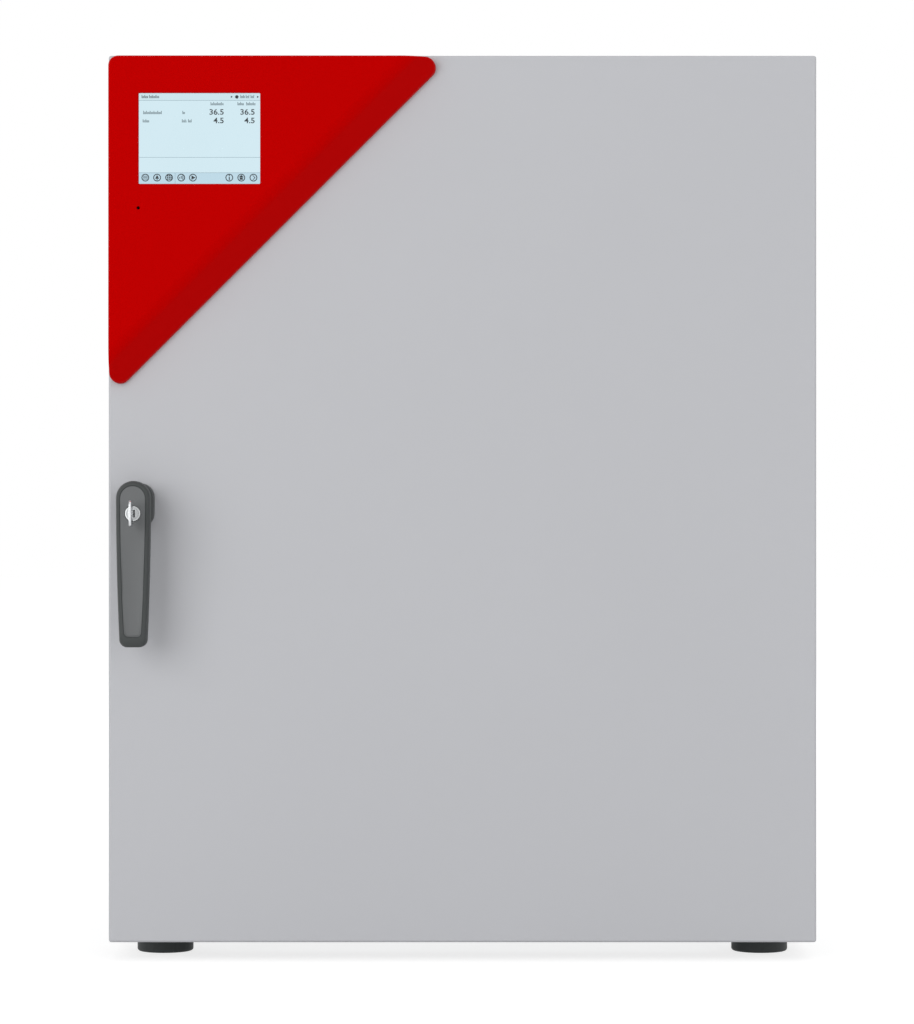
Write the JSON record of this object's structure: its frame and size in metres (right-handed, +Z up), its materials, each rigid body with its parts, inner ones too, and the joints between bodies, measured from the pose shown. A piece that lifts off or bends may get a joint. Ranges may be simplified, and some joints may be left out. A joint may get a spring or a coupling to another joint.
{
  "type": "carbon dioxide incubator",
  "caption": "Bench carbon dioxide incubator with an insulated outer door, glass inner door, ribbed chamber, slotted shelves, water pan, fan, sensors, lever handle with lock and display panel.",
  "frame": {"origin": "on the floor under the middle of the bounding box", "axes": "+Z up, the doors face -Y, +X is the hinge side, to the right when facing the doors"},
  "size_m": [0.68, 0.825, 0.87],
  "materials": {
    "cabinet_paint": "satin",
    "door_paint": "satin",
    "panel_red": "satin",
    "handle_grey": "satin",
    "stainless": "satin",
    "zinc_sheet": "satin",
    "rubber_black": "matte",
    "silicone_white": "matte",
    "clear_glass": "gloss",
    "foam": "matte",
    "circuit_board": "satin",
    "dark_plastic": "satin",
    "lock_chrome": "gloss",
    "screen": "gloss",
    "brass": "satin",
    "motor_grey": "satin"
  },
  "bodies": {
    "cabinet": {"side_panel_left": "cabinet_paint", "side_panel_right": "cabinet_paint", "top_panel": "cabinet_paint", "rear_panel": "cabinet_paint", "front_frame": "cabinet_paint", "base_panel": "zinc_sheet", "air_jacket": "zinc_sheet", "hinge_bracket_upper": "zinc_sheet", "hinge_bracket_lower": "zinc_sheet", "latch_keeper": "zinc_sheet", "network_socket": "zinc_sheet", "foot_front_left": "rubber_black", "foot_front_right": "rubber_black", "foot_rear_left": "rubber_black", "foot_rear_right": "rubber_black", "chamber_liner": "stainless", "temperature_probe": "stainless", "gas_mixing_head": "stainless", "heating_ring": "stainless", "hinge_pin_upper": "stainless", "hinge_pin_lower": "stainless", "glass_hinge_bracket_upper": "stainless", "glass_hinge_bracket_lower": "stainless", "glass_catch": "stainless", "glass_seal": "silicone_white", "co2_sensor": "silicone_white", "access_port": "silicone_white", "cabinet_insulation": "foam", "gas_nozzle": "brass", "gas_valve": "brass", "mains_inlet": "dark_plastic", "fan_motor": "motor_grey", "main_board": "circuit_board"},
    "outer_door": {"door_shell": "door_paint", "door_liner": "stainless", "door_insulation": "foam", "door_gasket": "rubber_black", "door_leaf_upper": "zinc_sheet", "door_leaf_lower": "zinc_sheet", "control_panel_housing": "panel_red", "touch_glass": "screen", "display_module": "dark_plastic", "controller_board": "circuit_board", "handle_base": "handle_grey"},
    "handle": {"handle_lever": "handle_grey", "latch_shaft": "stainless", "latch_tongue": "zinc_sheet"},
    "lock": {"lock_cylinder": "lock_chrome"},
    "key": {"door_key": "lock_chrome"},
    "glass_door": {"glass_pane": "clear_glass", "glass_hinge_plate_upper": "stainless", "glass_hinge_plate_lower": "stainless"},
    "glass_door_knob": {"glass_knob": "silicone_white"},
    "lower_shelf": {"shelf_lower": "stainless"},
    "middle_shelf": {"shelf_middle": "stainless"},
    "upper_shelf": {"shelf_upper": "stainless"},
    "pan": {"water_pan": "stainless"},
    "fan": {"fan_wheel": "dark_plastic"},
    "mains_switch": {"mains_rocker": "dark_plastic"},
    "stopper": {"port_plug": "rubber_black"}
  },
  "joints": [
    {"name": "door_swing", "type": "hinge", "parent": "cabinet", "child": "outer_door", "pos_m": [0.331, -0.2835, 0.428], "axis": [0, 0, 1], "range_deg": [0, 110]},
    {"name": "handle_turn", "type": "hinge", "parent": "outer_door", "child": "handle", "pos_m": [-0.3127, -0.3655, 0.43], "axis": [0, -1, 0], "range_deg": [0, 90]},
    {"name": "lock_turn", "type": "hinge", "parent": "handle", "child": "lock", "pos_m": [-0.3127, -0.3835, 0.43], "axis": [0, -1, 0], "range_deg": [0, 90]},
    {"name": "key_pull", "type": "slide", "parent": "lock", "child": "key", "axis": [0, -1, 0], "range_m": [0, 0.03]},
    {"name": "glass_swing", "type": "hinge", "parent": "cabinet", "child": "glass_door", "pos_m": [0.29, -0.2575, 0.428], "axis": [0, 0, 1], "range_deg": [0, 100]},
    {"name": "glass_knob_turn", "type": "hinge", "parent": "glass_door", "child": "glass_door_knob", "pos_m": [-0.272, -0.2535, 0.43], "axis": [0, -1, 0], "range_deg": [0, 90]},
    {"name": "shelf_lower_slide", "type": "slide", "parent": "cabinet", "child": "lower_shelf", "axis": [0, -1, 0], "range_m": [0, 0.02]},
    {"name": "shelf_middle_slide", "type": "slide", "parent": "cabinet", "child": "middle_shelf", "axis": [0, -1, 0], "range_m": [0, 0.02]},
    {"name": "shelf_upper_slide", "type": "slide", "parent": "cabinet", "child": "upper_shelf", "axis": [0, -1, 0], "range_m": [0, 0.02]},
    {"name": "water_pan_slide", "type": "slide", "parent": "cabinet", "child": "pan", "axis": [0, -1, 0], "range_m": [0, 0.035]},
    {"name": "fan_spin", "type": "hinge", "parent": "cabinet", "child": "fan", "pos_m": [0, 0.2795, 0.428], "axis": [0, 1, 0], "continuous": true},
    {"name": "mains_switch_rock", "type": "hinge", "parent": "cabinet", "child": "mains_switch", "pos_m": [-0.2345, 0.3768, 0.11], "axis": [1, 0, 0], "range_deg": [0, 14]},
    {"name": "port_plug_pull", "type": "slide", "parent": "cabinet", "child": "stopper", "axis": [0, 1, 0], "range_m": [0, 0.06]}
  ],
  "couplings": [
    {"joint": "glass_swing", "follows": "door_swing", "ratio": 0.9}
  ]
}
